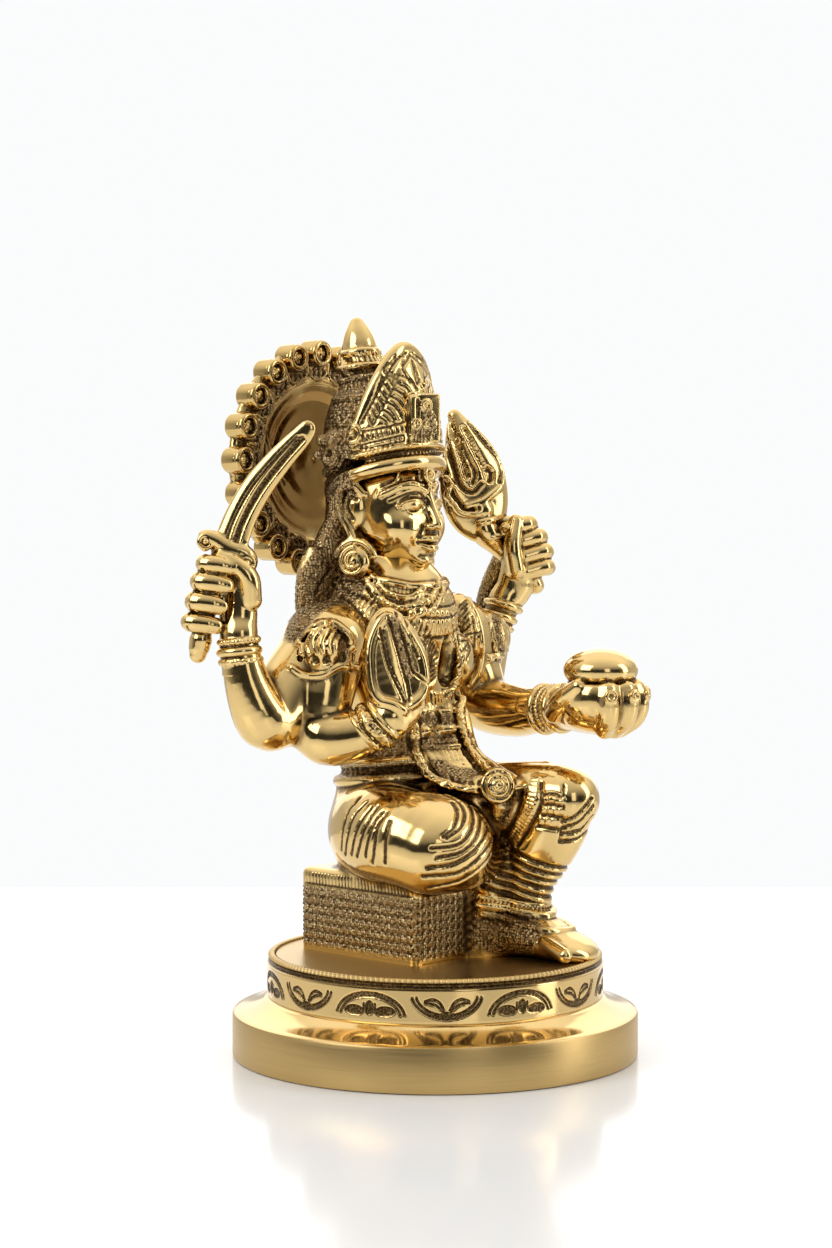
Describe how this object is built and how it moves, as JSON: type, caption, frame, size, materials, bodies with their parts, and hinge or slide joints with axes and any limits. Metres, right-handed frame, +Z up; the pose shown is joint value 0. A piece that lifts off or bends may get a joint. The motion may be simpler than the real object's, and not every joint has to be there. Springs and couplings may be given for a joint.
{
  "type": "santoshi mata figure",
  "caption": "Cast-brass santoshi mata: a seated goddess with sword, trident, raised palm and bowl, a knobbed halo behind her head, on a stepped round plinth with an engraved band.",
  "frame": {"origin": "centre of the round plinth's underside, which is the face the figure stands on", "axes": "+Z up, -Y the way the goddess faces, -X to her right hand side"},
  "size_m": [0.0954, 0.084, 0.1526],
  "materials": {
    "plinth_brass": "polished, with a satin brushed edge on the slab and a dark ground in the engraved band",
    "figure_brass": "polished high places, dark brown patina in the chased lines and punched grounds",
    "halo_brass": "polished knobs on a dished plate that is darker and finely lined"
  },
  "bodies": {
    "root": {"plinth": "plinth_brass", "figure": "figure_brass", "halo": "halo_brass"}
  },
  "joints": []
}
